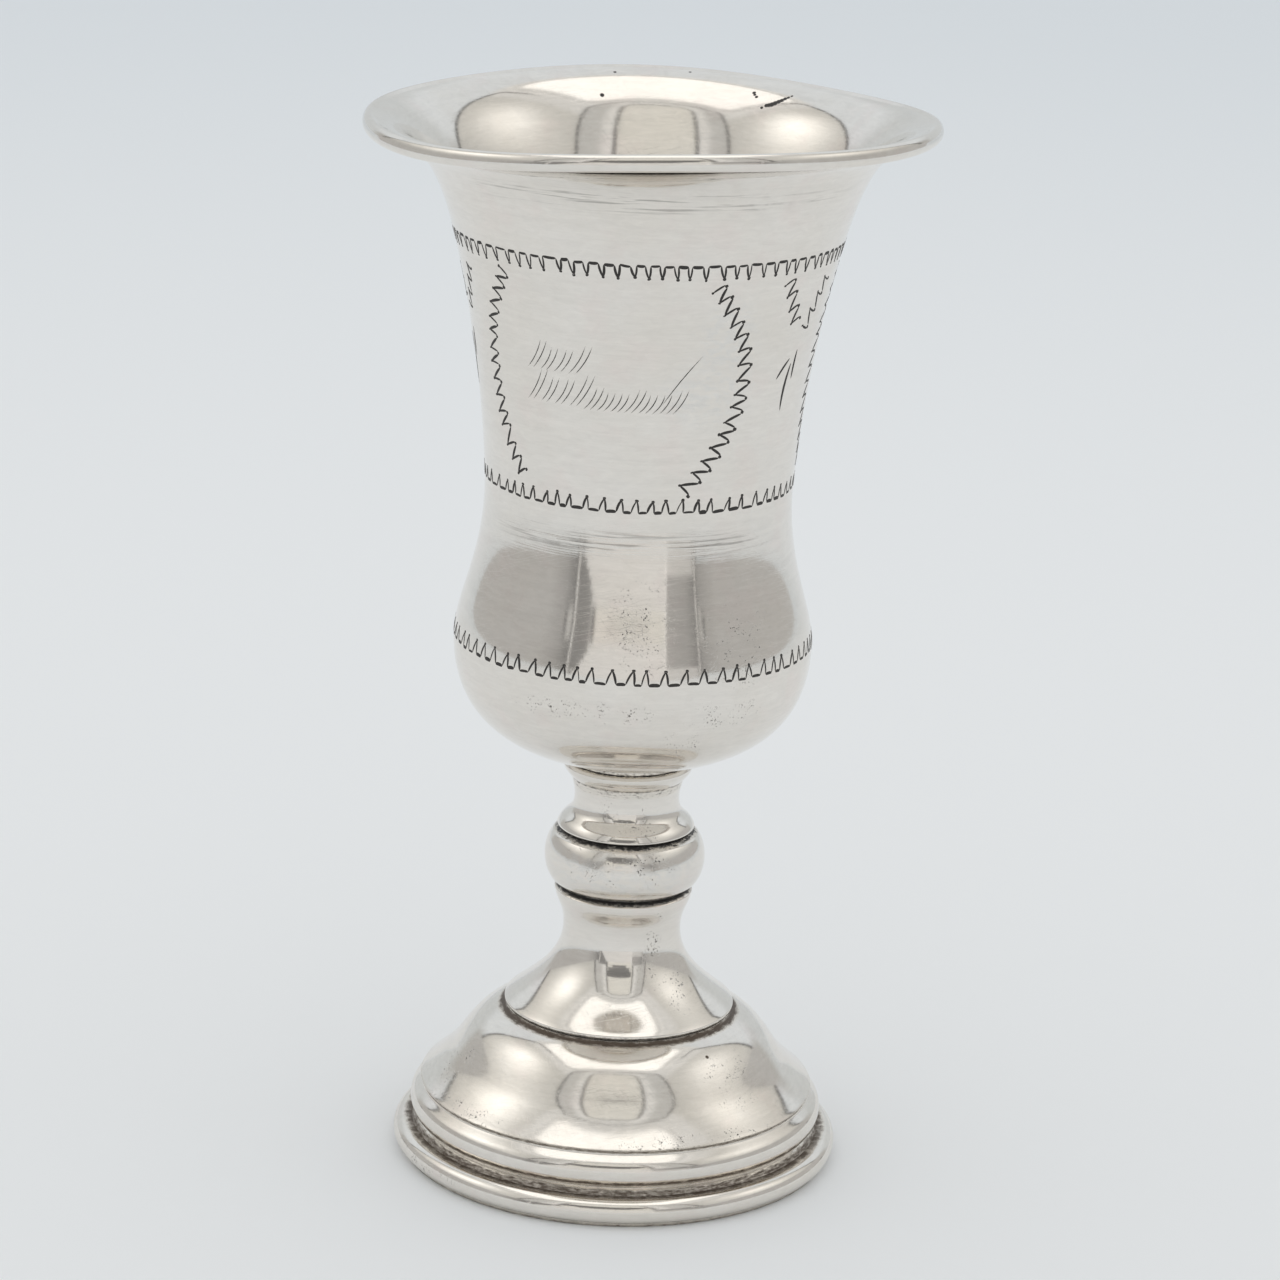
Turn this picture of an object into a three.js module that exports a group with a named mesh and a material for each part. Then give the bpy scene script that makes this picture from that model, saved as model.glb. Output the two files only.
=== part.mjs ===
// Kiddush cup: a silver goblet with a waisted, flaring bowl on a knopped stem and a domed foot.
// Every piece is a body of revolution about +Z, spun from sheet with a true wall, and the pieces
// stand on each other at flat joints. Units are millimetres. The origin is the centre of the
// underside, and the bowl's engraved front faces -Y.

import * as THREE from 'three';

// Heights, from the table up
const HEIGHT = 133.0;
const FOOT_JOINT_Z = 3.5; // the applied rim meets the domed foot
const FOOT_TOP_Z = 19.3; // the domed foot meets the pedestal
const KNOP_LOW_Z = 35.2; // the pedestal meets the knop
const KNOP_TOP_Z = 42.7; // the knop meets the collar
const BOWL_BASE_Z = 51.5; // the collar meets the bowl's boss
const BELLY_Z = 67.4;
const WAIST_Z = 86.0;
const FLARE_Z = 121.0; // the straight wall turns out into the lip

// Radii
const RIM_R = 34.8;
const FLARE_R = 24.46;
const WAIST_R = 18.9;
const BELLY_R = 22.2;
const BOSS_R = 7.3;
const KNOP_R = 10.1;
const KNOP_JOINT_R = 8.1; // bottom of both grooves beside the knop
const STEM_WAIST_R = 6.55;
const COLLAR_R = 8.15;
const NECK_R = 7.4;
const PEDESTAL_R = 14.5;
const DOME_TOP_R = 15.4;
const DOME_R = 24.9;
const FOOT_ROLL_R = 26.1;
const FOOT_R = 28.2;
const FOOT_BORE_R = 25.2;

// Sections
const BOWL_WALL = 0.6;
const STEM_WALL = 0.9;
const FOOT_WALL = 0.8;
const RIM_ROLL_R = 0.8; // half the width of the rolled edge round the mouth
const RIM_ROLL_Z = 1.05; // and half its height
const FOOT_ROLL_Z = 6.25; // centre height of the roll above the rim
const RIM_BEAD_R = 1.6; // half-round bead of the applied foot rim
const RIM_BEAD_Z = 2.0;

// Facets
const WIDE_SEGMENTS = 32;
const STEM_SEGMENTS = 24;

const POLISHED = { color: 0xd3d1cc, roughness: 0.16, metalness: 1 };
const WORN = { color: 0xc9c6bf, roughness: 0.24, metalness: 1 };

const point = (r, z) => new THREE.Vector2(r, z);

// A Bezier curve from one point to another. The two handles are steps in (r, z): the first
// leaves the start, and the second leads back from the end.
function sweep(start, leave, back, end, steps) {
  const first = start.clone().add(leave);
  const second = end.clone().add(back);
  return new THREE.CubicBezierCurve(start, first, second, end).getPoints(steps);
}

// An arc of an upright ellipse, between two angles in degrees from the +r direction.
function roll(r, z, rx, rz, from, to, steps) {
  const [a, b] = [from, to].map(THREE.MathUtils.degToRad);
  return new THREE.EllipseCurve(r, z, rx, rz, a, b, b < a).getPoints(steps);
}

// The angle, in degrees, at which a roll reaches a rise above its centre.
const rollAngle = (rise, radius) => THREE.MathUtils.radToDeg(Math.asin(rise / radius));

// One outline from several stretches, leaving out points that repeat.
function outline(...stretches) {
  const points = stretches.flat();
  return points.filter((p, i) => i === 0 || p.distanceTo(points[i - 1]) > 0.005);
}

// The inner face of a wall: each point moves by the wall's thickness across the outline.
function inset(points, wall) {
  return points.map((p, i) => {
    const before = points[Math.max(i - 1, 0)];
    const after = points[Math.min(i + 1, points.length - 1)];
    const along = after.clone().sub(before).normalize();
    return point(p.x - along.y * wall, p.y + along.x * wall);
  });
}

// Every other point, because the hidden inside is plainer than the outside.
const plainer = (points) => points.filter((p, i) => i % 2 === 0);

// A tube wall whose two ends are cut flat: up the outside and down the inside.
function tubeWall(outside, wall) {
  const [low, top] = [outside[0].y, outside.at(-1).y];
  const clear = inset(outside, wall).filter((p) => p.y > low + 0.2 && p.y < top - 0.2);
  const kept = plainer(clear);
  const ends = [point(kept[0].x, low), point(kept.at(-1).x, top)];
  return [...outside, ends[1], ...kept.reverse(), ends[0], outside[0]];
}

// A named body of revolution about +Z.
function turned(name, profile, segments, finish) {
  const geometry = new THREE.LatheGeometry(profile, segments).rotateX(Math.PI / 2);
  const mesh = new THREE.Mesh(geometry, new THREE.MeshStandardMaterial(finish));
  mesh.name = name;
  return mesh;
}

// Bowl: a flat boss under a round belly, a waist, a long flare and a turned-out lip whose edge
// is rolled. The inside follows the outside at the wall's thickness, and the lip is thicker.
function bowl() {
  const bossEdge = point(BOSS_R, BOWL_BASE_Z + 0.75);
  const belly = point(BELLY_R, BELLY_Z);
  const waist = point(WAIST_R, WAIST_Z);
  const flare = point(FLARE_R, FLARE_Z);
  const lip = point(RIM_R - 1.5, HEIGHT - 2.2);
  const below = outline(
    sweep(bossEdge, point(9.2, 1.7), point(0, -9.3), belly, 10),
    sweep(belly, point(0, 4.6), point(0, -8.6), waist, 6),
    sweep(waist, point(0, 7.2), point(-3.38, -11.0), flare, 6),
  );
  const turnedOut = sweep(flare, point(2.81, 9.16), point(-2.97, -0.32), lip, 8);
  const wall = outline(below, turnedOut);
  const edge = roll(RIM_R - RIM_ROLL_R, HEIGHT - RIM_ROLL_Z, RIM_ROLL_R, RIM_ROLL_Z, -66, 110, 8);
  const lipInside = point(RIM_R - 1.5, HEIGHT - 0.4);
  const flareInside = point(FLARE_R - 0.57, FLARE_Z + 0.17);
  const inside = [
    ...sweep(lipInside, point(-2.4, -0.3), point(3.0, 9.8), flareInside, 7),
    ...plainer(inset(below, BOWL_WALL).slice(0, -1)).reverse(),
  ];
  const floor = point(0, BOWL_BASE_Z + 1.3);
  const boss = [point(0, BOWL_BASE_Z), point(BOSS_R, BOWL_BASE_Z)];
  return turned('bowl', [...boss, ...wall, ...edge, ...inside, floor], WIDE_SEGMENTS, POLISHED);
}

// Upper stem: a lip over the knop's groove, a waist and a flaring band that carries the bowl.
function stemCollar() {
  const lip = point(8.6, KNOP_TOP_Z + 0.45);
  const waist = point(STEM_WAIST_R, 46.8);
  const bandFoot = point(7.0, 49.3);
  const bandTop = point(COLLAR_R, 51.1);
  const outside = outline(
    [point(KNOP_JOINT_R, KNOP_TOP_Z), point(lip.x, KNOP_TOP_Z + 0.3)],
    sweep(lip, point(-0.66, 1.7), point(0, -2.4), waist, 6),
    sweep(waist, point(0, 0.9), point(-0.2, -0.8), bandFoot, 3),
    sweep(bandFoot, point(0.5, 0.6), point(-0.1, -0.7), bandTop, 3),
    [point(COLLAR_R - 0.3, BOWL_BASE_Z - 0.1), point(BOSS_R - 0.1, BOWL_BASE_Z)],
  );
  return turned('stem_collar', tubeWall(outside, STEM_WALL), STEM_SEGMENTS, POLISHED);
}

// Knop: a barrel between the two grooves.
function knop() {
  const barrel = roll(KNOP_R - 2.6, 39.05, 2.6, 3.9, -52, 52, 8);
  const outside = outline(
    [point(KNOP_JOINT_R, KNOP_LOW_Z)],
    barrel,
    [point(KNOP_JOINT_R, KNOP_TOP_Z)],
  );
  return turned('knop', tubeWall(outside, STEM_WALL), STEM_SEGMENTS, POLISHED);
}

// Pedestal: a trumpet from a thin lip on the foot up to a narrow neck, then out under the knop.
function pedestal() {
  const edge = point(PEDESTAL_R, FOOT_TOP_Z + 0.6);
  const neck = point(NECK_R, 29.6);
  const top = point(8.7, KNOP_LOW_Z - 0.5);
  const outside = outline(
    [point(PEDESTAL_R - 0.25, FOOT_TOP_Z), point(PEDESTAL_R, FOOT_TOP_Z + 0.3)],
    sweep(edge, point(-2.36, 1.93), point(0, -4.7), neck, 9),
    sweep(neck, point(0, 2.7), point(-0.3, -1.9), top, 5),
    [point(KNOP_JOINT_R, KNOP_LOW_Z)],
  );
  return turned('pedestal', tubeWall(outside, STEM_WALL), STEM_SEGMENTS, POLISHED);
}

// Domed foot: a recess over the rim, a fat roll, a groove, and the dome up to the pedestal.
function foot() {
  const domeFoot = point(DOME_R, 9.1);
  const domeTop = point(DOME_TOP_R, FOOT_TOP_Z - 0.7);
  const hollow = point(20.3, 14.3); // the steepest part of the dome, under its shoulder
  const dome = outline(
    sweep(domeFoot, point(-1.3, 1.2), point(1.2, -1.6), hollow, 4),
    sweep(hollow, point(-1.55, 2.1), point(2.0, -0.9), domeTop, 6),
  );
  const outside = outline(
    [point(25.9, FOOT_JOINT_Z), point(25.5, FOOT_JOINT_Z + 0.55)],
    roll(FOOT_ROLL_R - 1.7, FOOT_ROLL_Z, 1.7, 2.5, -52, 62, 7),
    [point(DOME_R - 0.2, 8.75)],
    dome,
    [point(PEDESTAL_R + 0.1, FOOT_TOP_Z - 0.35), point(PEDESTAL_R - 0.3, FOOT_TOP_Z)],
  );
  const inside = [
    point(PEDESTAL_R - 1.4, FOOT_TOP_Z),
    ...plainer(inset(dome, FOOT_WALL)).reverse(),
    point(DOME_R - FOOT_WALL, FOOT_ROLL_Z),
    point(DOME_R - FOOT_WALL, FOOT_JOINT_Z),
  ];
  return turned('foot', [...outside, ...inside, outside[0]], WIDE_SEGMENTS, WORN);
}

// Foot rim: an applied ring with a half-round bead outside and a flat underside to stand on.
function footRim() {
  const beadR = FOOT_R - RIM_BEAD_R;
  const roundTo = rollAngle(FOOT_JOINT_Z - RIM_BEAD_Z, RIM_BEAD_R);
  const bead = roll(beadR, RIM_BEAD_Z, RIM_BEAD_R, RIM_BEAD_R, -64, roundTo, 9);
  const profile = [
    point(FOOT_BORE_R, 0),
    point(beadR + 0.4, 0),
    ...bead,
    point(FOOT_BORE_R, FOOT_JOINT_Z),
    point(FOOT_BORE_R, 0),
  ];
  return turned('foot_rim', profile, WIDE_SEGMENTS, WORN);
}

const cup = new THREE.Group();
cup.add(footRim(), foot(), pedestal(), knop(), stemCollar(), bowl());

export default cup;
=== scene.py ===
"""Kiddush cup: the looks of a silver goblet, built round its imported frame.

Every piece of silver is a section turned about the cup's axis. The engraving is a set of short
cuts that follow the bowl. Lengths in the code are millimetres until a mesh is made, and metres
from then on. Angles round the cup start at the engraved front (-Y) and grow towards +X.
"""

import math

import bpy
import numpy as np
from bpy.props import FloatProperty, FloatVectorProperty, IntProperty, PointerProperty
from mathutils import Matrix, Vector


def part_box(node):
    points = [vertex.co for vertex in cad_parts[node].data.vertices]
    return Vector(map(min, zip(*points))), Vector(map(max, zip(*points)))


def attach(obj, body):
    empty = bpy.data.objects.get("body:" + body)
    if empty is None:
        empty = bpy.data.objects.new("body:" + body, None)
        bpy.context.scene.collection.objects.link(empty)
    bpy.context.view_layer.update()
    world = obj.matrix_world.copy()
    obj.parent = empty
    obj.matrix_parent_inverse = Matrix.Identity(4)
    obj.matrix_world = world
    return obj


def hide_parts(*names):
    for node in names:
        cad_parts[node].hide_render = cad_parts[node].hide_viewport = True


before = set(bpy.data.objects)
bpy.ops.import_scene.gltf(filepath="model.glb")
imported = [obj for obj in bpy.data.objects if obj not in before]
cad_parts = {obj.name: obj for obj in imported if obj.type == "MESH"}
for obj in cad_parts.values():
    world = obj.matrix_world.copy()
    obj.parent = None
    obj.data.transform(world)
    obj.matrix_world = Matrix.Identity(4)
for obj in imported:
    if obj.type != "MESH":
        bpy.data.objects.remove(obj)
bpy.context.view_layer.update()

bl_info = {
    "name": "Kiddush Cup",
    "version": (1, 0, 0),
    "blender": (4, 5, 0),
    "location": "View3D > Sidebar > Kiddush Cup",
    "description": "Builds an engraved silver kiddush cup and a small studio for it",
    "category": "Add Mesh",
}

MM = 0.001


def reach(node):
    """The lowest height, highest height and widest radius of one solid of the frame, in metres."""
    low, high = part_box(node)
    return low.z, high.z, high.x


RIM_BOX, FOOT_BOX, PEDESTAL_BOX = reach("foot_rim"), reach("foot"), reach("pedestal")
KNOP_BOX, COLLAR_BOX, BOWL_BOX = reach("knop"), reach("stem_collar"), reach("bowl")


def length(name, description, default):
    """A length that the panel shows in scene units."""
    return FloatProperty(
        name=name, description=description, default=default, min=0.0, unit="LENGTH", precision=5
    )


def plain(name, description, default, **limits):
    """A number without a unit."""
    return FloatProperty(name=name, description=description, default=default, **limits)


def whole(name, description, default, least):
    """A whole number."""
    return IntProperty(name=name, description=description, default=default, min=least)


def colour(name, description, default):
    """A linear colour."""
    limits = {"min": 0.0, "max": 1.0, "size": 3, "subtype": "COLOR"}
    return FloatVectorProperty(name=name, description=description, default=default, **limits)


def turn(name, description, degrees):
    """An angle, given here in degrees."""
    return FloatProperty(
        name=name, description=description, default=math.radians(degrees), subtype="ANGLE"
    )


# ---------------------------------------------------------------- settings


class CupShape(bpy.types.PropertyGroup):
    """Sizes of the turned pieces. Those that meet a neighbour come from the frame."""

    mouth_radius: length("Mouth radius", "Outside of the rolled edge", BOWL_BOX[2])
    mouth_height: length("Mouth height", "Top of the rolled edge", BOWL_BOX[1])
    bowl_base: length("Bowl base", "Where the bowl sits on the stem", BOWL_BOX[0])
    knop_top: length("Knop top", "Where the collar sits on the knop", KNOP_BOX[1])
    knop_low: length("Knop bottom", "Where the knop sits on the pedestal", KNOP_BOX[0])
    knop_radius: length("Knop radius", "Widest part of the knop", KNOP_BOX[2])
    collar_radius: length("Collar lip radius", "Lip over the knop's groove", COLLAR_BOX[2])
    pedestal_radius: length("Pedestal radius", "Thin lip on the dome", PEDESTAL_BOX[2])
    foot_top: length("Foot top", "Where the pedestal sits on the dome", FOOT_BOX[1])
    foot_joint: length("Foot joint", "Where the dome's recess meets the rim", RIM_BOX[1])
    foot_roll_radius: length("Foot roll radius", "Outside of the fat roll", FOOT_BOX[2])
    foot_radius: length("Foot radius", "Outside of the foot rim's bead", RIM_BOX[2])
    flare_radius: length("Flare radius", "Where the wall turns out into the lip", 24.46 * MM)
    flare_height: length("Flare height", "Where the wall turns out into the lip", 121.0 * MM)
    waist_radius: length("Waist radius", "Narrowest part of the bowl", 18.9 * MM)
    waist_height: length("Waist height", "Narrowest part of the bowl", 86.0 * MM)
    belly_radius: length("Belly radius", "Widest part of the lower bowl", 22.2 * MM)
    belly_height: length("Belly height", "Widest part of the lower bowl", 67.4 * MM)
    boss_radius: length("Boss radius", "Flat boss under the bowl", 7.3 * MM)
    stem_waist_radius: length("Stem waist radius", "Narrowest part above the knop", 6.55 * MM)
    neck_radius: length("Neck radius", "Narrowest part of the pedestal", 7.4 * MM)
    dome_radius: length("Dome radius", "Bottom of the dome", 24.9 * MM)
    dome_top_radius: length("Dome top radius", "Top of the dome", 15.4 * MM)
    bowl_wall: length("Bowl wall", "Thickness of the bowl", 0.6 * MM)
    stem_wall: length("Stem wall", "Thickness of the stem's pieces", 0.9 * MM)
    foot_wall: length("Foot wall", "Thickness of the dome", 0.8 * MM)
    edge_roll: length("Edge roll", "Half the width of the rolled edge round the mouth", 0.8 * MM)
    edge_height: length("Edge height", "Half the height of the rolled edge", 1.05 * MM)
    lip_lean: plain("Lip lean", "Rise of the bent lip for each unit towards +X", 0.0164)
    lip_nod: plain("Lip nod", "Rise of the bent lip for each unit towards +Y", 0.0043)
    lip_sag: length("Lip sag", "How far the whole lip has sunk", 0.2 * MM)
    lip_warp: length("Lip warp", "How far the lip rises and dips, twice round", 0.618 * MM)
    lip_warp_turn: turn("Lip warp turn", "Angle from +X of one of the lip's two dips", 35.1)
    lip_wave: length("Lip wave", "How far the lip rises and dips, four times round", 0.211 * MM)
    lip_wave_turn: turn("Lip wave turn", "Angle from +X of one of the lip's four rises", 13.0)
    ripple: length("Ripple", "Height of the low waves that handwork leaves", 0.02 * MM)
    around: whole("Faces round", "Faces round each piece", 288, 24)


class CupEngraving(bpy.types.PropertyGroup):
    """The wriggled borders, panel outlines, sprigs and flourish on the bowl."""

    bar_width: length("Bar width", "Width of the deep bars", 0.42 * MM)
    link_width: length("Link width", "Width of the light cuts between the bars", 0.28 * MM)
    dot_width: length("Dot width", "Width of the stabs at the points", 0.44 * MM)
    burr: length("Burr", "Height of the metal thrown up beside a cut", 0.022 * MM)
    tooth: length("Tooth", "Pitch of the teeth of the panel outlines", 1.85 * MM)
    top_border: length("Top border height", "Height of the top border's bars", 118.7 * MM)
    middle_border: length("Middle border height", "Height of the middle border's bars", 88.05 * MM)
    low_border: length("Low border height", "Height of the low border's bars", 67.7 * MM)
    seed: whole("Seed", "Chooses the hand's small slips", 7, 0)


class CupFinish(bpy.types.PropertyGroup):
    """Colours and gloss of the silver."""

    silver: colour("Silver", "Clean polished silver", (0.83, 0.795, 0.745))
    warm_silver: colour("Warm silver", "Silver under a breath of tarnish", (0.77, 0.72, 0.645))
    pink_silver: colour("Pink silver", "Silver where copper shows", (0.82, 0.745, 0.70))
    smudge: colour("Smudge", "Silver dulled by handling", (0.785, 0.765, 0.73))
    tarnish: colour("Tarnish", "Black tarnish in cuts and grooves", (0.035, 0.032, 0.03))
    # This brown also paints a contact shadow: the dark line under the foot rim's bead.
    dirt_and_shade: colour("Dirt", "Brown dirt in the recess above the foot rim", (0.10, 0.075, 0.055))
    gloss: plain("Roughness", "Roughness of the silver", 0.065, min=0.0, max=1.0, subtype="FACTOR")


class CupStudio(bpy.types.PropertyGroup):
    """The floor, the light and the camera."""

    # The floor's near and far colours paint a pool of light: brighter round the cup, darker away
    # from it.
    floor_near: colour("Floor near", "Floor colour round the cup", (0.885, 0.91, 0.925))
    floor_far: colour("Floor far", "Floor colour away from the cup", (0.74, 0.79, 0.83))
    backdrop: colour("Backdrop", "What shows above the floor", (0.68, 0.735, 0.77))
    tent_back: colour("Tent back", "Back of the tent, as the silver sees it", (0.76, 0.80, 0.835))
    sky: colour("Sky", "Even light that falls on the floor", (0.86, 0.86, 0.86))
    light: plain("Light", "Strength of the studio light", 1.0, min=0.0)
    azimuth: turn("Camera azimuth", "Which side the camera stands on", 13.0)
    distance: length("Camera distance", "From the cup's axis, along the floor", 508.37 * MM)
    height: length("Camera height", "Above the floor", 213.46 * MM)
    pitch: turn("Camera pitch", "How far the camera looks down", 16.073)
    yaw: turn("Camera yaw", "How far the camera looks past the axis", 0.1)
    roll: turn("Camera roll", "How far the camera leans", 2.276)
    lens: plain("Lens", "Focal length in millimetres", 119.93, min=1.0)


# ---------------------------------------------------------------- sections


def mm(value):
    """Metres to millimetres."""
    return value / MM


def sweep(start, leave, back, end, count=60):
    """A cubic curve between two points of a section. The handles are steps in (r, z): the first
    leaves the start, the second leads back from the end."""
    t = np.linspace(0.0, 1.0, count)[:, None]
    start, end = np.array(start, float), np.array(end, float)
    first, second = start + leave, end + back
    return (
        (1 - t) ** 3 * start
        + 3 * (1 - t) ** 2 * t * first
        + 3 * (1 - t) * t**2 * second
        + t**3 * end
    )


def roll(r, z, rx, rz, first, last, count=40):
    """An arc of an upright ellipse in a section, between two angles in degrees from +r."""
    a = np.radians(np.linspace(first, last, count))
    return np.stack([r + rx * np.cos(a), z + rz * np.sin(a)], axis=1)


def joined(*stretches):
    """One section from several stretches, in order."""
    return np.concatenate(stretches)


def inset(points, wall):
    """The far side of a wall: each point moves by the thickness, square to the outline."""
    along = np.gradient(points, axis=0)
    along /= np.linalg.norm(along, axis=1, keepdims=True)
    return points + wall * np.stack([-along[:, 1], along[:, 0]], axis=1)


def lengths(points):
    """The distance along a polyline at each of its points."""
    return np.concatenate([[0.0], np.cumsum(np.linalg.norm(np.diff(points, axis=0), axis=1))])


def resampled(points, where):
    """The points of a polyline at the given distances along it."""
    run = lengths(points)
    return np.stack([np.interp(where, run, points[:, k]) for k in (0, 1)], axis=1)


def softened(points, closed, width=0.16, longest=0.9, bend=7.0):
    """A section with its corners eased and its points set where it bends.

    The outline is cut into steps of a fiftieth of a millimetre and each point becomes the mean
    of its neighbours within width. Points are then kept at equal steps of
    length / longest + turning / bend, turning in degrees."""
    run = lengths(points)
    step = 0.02
    fine = resampled(points, np.linspace(0.0, run[-1], int(run[-1] / step) + 2))
    half = max(1, int(width / step / 2))
    if closed:
        padded = np.concatenate([fine[-half - 1 : -1], fine, fine[1 : half + 1]])
    else:
        padded = np.pad(fine, ((half, half), (0, 0)), mode="reflect", reflect_type="odd")
    kernel = np.ones(2 * half + 1) / (2 * half + 1)
    eased = np.stack([np.convolve(padded[:, k], kernel, "valid") for k in (0, 1)], axis=1)
    heading = np.unwrap(np.arctan2(*np.gradient(eased, axis=0).T))
    turning = np.abs(np.gradient(np.degrees(heading)))
    spent = np.cumsum(step / longest + turning / bend)
    kept = np.interp(np.linspace(0.0, spent[-1], int(spent[-1]) + 1), spent, np.arange(len(eased)))
    index = np.arange(len(eased))
    return np.stack([np.interp(kept, index, eased[:, k]) for k in (0, 1)], axis=1)


# ---------------------------------------------------------------- meshes


def ring_faces(rings, around):
    """Quads of a grid that closes both ways: round each ring and from the last to the first."""
    i, j = np.meshgrid(np.arange(rings), np.arange(around), indexing="ij")
    up, on = (i + 1) % rings, (j + 1) % around
    corners = [i * around + j, i * around + on, up * around + on, up * around + j]
    return np.stack(corners, axis=-1).reshape(-1, 4)


def capsule_faces(rings, around):
    """Quads between the rings of a tube and fans that close it on one point at each end. The
    first point is number 0, the rings follow it, and the last point comes after them."""
    i, j = np.meshgrid(np.arange(rings - 1), np.arange(around), indexing="ij")
    on = (j + 1) % around
    corners = [i * around + j, i * around + on, (i + 1) * around + on, (i + 1) * around + j]
    quads = 1 + np.stack(corners, axis=-1).reshape(-1, 4)
    k = np.arange(around)
    ahead = (k + 1) % around
    top, tip = 1 + (rings - 1) * around, 1 + rings * around
    fans = np.concatenate(
        [
            np.stack([np.zeros_like(k), 1 + ahead, 1 + k], axis=1),
            np.stack([np.full_like(k, tip), top + k, top + ahead], axis=1),
        ]
    )
    return quads, fans


def new_piece(name, points, faces, values, material, stands_for):
    """A smooth mesh that rides on the cup. values are numbers kept at each point."""
    mesh = bpy.data.meshes.new(name)
    mesh.from_pydata((points * MM).tolist(), [], faces)
    mesh.shade_smooth()
    for key, numbers in values.items():
        kept = mesh.attributes.new(key, "FLOAT", "POINT")
        kept.data.foreach_set("value", numbers.astype(np.float32))
    mesh.materials.append(material)
    piece = bpy.data.objects.new(name, mesh)
    bpy.context.scene.collection.objects.link(piece)
    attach(piece, "root")
    if stands_for:
        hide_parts(*stands_for)
    return piece


def handmade(points, shape):
    """Moves points as handwork and wear left the cup.

    Low waves run round and up the silver: the radius changes by the ripple times a sum of four
    cosines. Above the top border the lip leans, and bends twice and four times round."""
    x, y, z = points[..., 0], points[..., 1], points[..., 2]
    radius, angle = np.hypot(x, y), np.arctan2(y, x)
    waves = (
        np.cos(3 * angle + 0.11 * z)
        + 0.8 * np.cos(5 * angle - 0.07 * z + 1.1)
        + 0.5 * np.cos(8 * angle + 0.31 * z + 2.3)
        + 0.35 * np.cos(2 * angle + 0.53 * z + 0.6)
    )
    grow = 1 + mm(shape.ripple) * waves * np.clip(radius / 6.0, 0, 1) / np.maximum(radius, 1.0)
    low, high = mm(shape.flare_height) - 2.0, mm(shape.mouth_height) - 2.0
    t = np.clip((z - low) / (high - low), 0, 1)
    bent = t * t * (3 - 2 * t)
    warp = mm(shape.lip_wave) * np.cos(4 * (angle - shape.lip_wave_turn)) - mm(shape.lip_sag)
    warp -= mm(shape.lip_warp) * np.cos(2 * (angle - shape.lip_warp_turn))
    warp *= (radius / mm(shape.mouth_radius)) ** 2
    rise = bent * (shape.lip_lean * x + shape.lip_nod * y + warp)
    return np.stack([x * grow, y * grow, z + rise], axis=-1)


def turned(section, shape, around):
    """A section turned about the axis: (r, z) at angle a goes to (r sin a, -r cos a, z)."""
    a = np.linspace(0.0, 2 * math.pi, around, endpoint=False)
    r, z = section[:, 0, None], section[:, 1, None]
    points = np.stack([r * np.sin(a), -r * np.cos(a), z + 0 * a], axis=-1)
    return handmade(points, shape)


def gathered(section, spots):
    """How much tarnish, dirt and painted shadow lies at each point of a section, from 0 to 1: the
    most that any spot gives. A spot is (r, z, width, amount), and gives amount * exp(-(distance /
    width)^2). The painted shadow is the spot under the foot rim's bead."""
    total = np.zeros(len(section))
    for r, z, width, amount in spots:
        away = np.hypot(section[:, 0] - r, section[:, 1] - z)
        total = np.maximum(total, amount * np.exp(-((away / width) ** 2)))
    return total


def worn(points, patches):
    """How strong a mark is at each point, from 0 to 1: patches are (angle in degrees, height,
    half the width and half the height of the patch), and fade out from their centres."""
    angle = np.degrees(np.arctan2(points[:, 0], -points[:, 1]))
    radius = np.hypot(points[:, 0], points[:, 1])
    total = np.zeros(len(points))
    for at, height, wide, tall in patches:
        off = np.radians((angle - at + 180) % 360 - 180) * radius
        above = points[:, 2] - height
        total = np.maximum(total, np.exp(-((off / wide) ** 2) - (above / tall) ** 2))
    return total


def shell(name, section, spots, patches, material, shape, closed=True):
    """One turned piece, named as the solid that it stands for."""
    around = shape.around
    section = softened(section, closed)
    grime_and_shade = gathered(section, spots)
    if closed:
        section, grime_and_shade = section[:-1], grime_and_shade[:-1]
        points = turned(section, shape, around).reshape(-1, 3)
        faces = ring_faces(len(section), around).tolist()
        grime_and_shade = np.repeat(grime_and_shade, around)
    else:
        rings = turned(section[1:-1], shape, around).reshape(-1, 3)
        ends = [[[0.0, 0.0, z]] for z in section[[0, -1], 1]]
        points = np.concatenate([ends[0], rings, ends[1]])
        quads, fans = capsule_faces(len(section) - 2, around)
        faces = quads.tolist() + fans.tolist()
        grime_and_shade = np.concatenate([grime_and_shade[:1], np.repeat(grime_and_shade[1:-1], around), grime_and_shade[-1:]])
    values = {"grime_and_shade": grime_and_shade} | {key: worn(points, marks) for key, marks in patches.items()}
    return new_piece(name + "_silver", points, faces, values, material, [name])


# ---------------------------------------------------------------- materials


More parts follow.
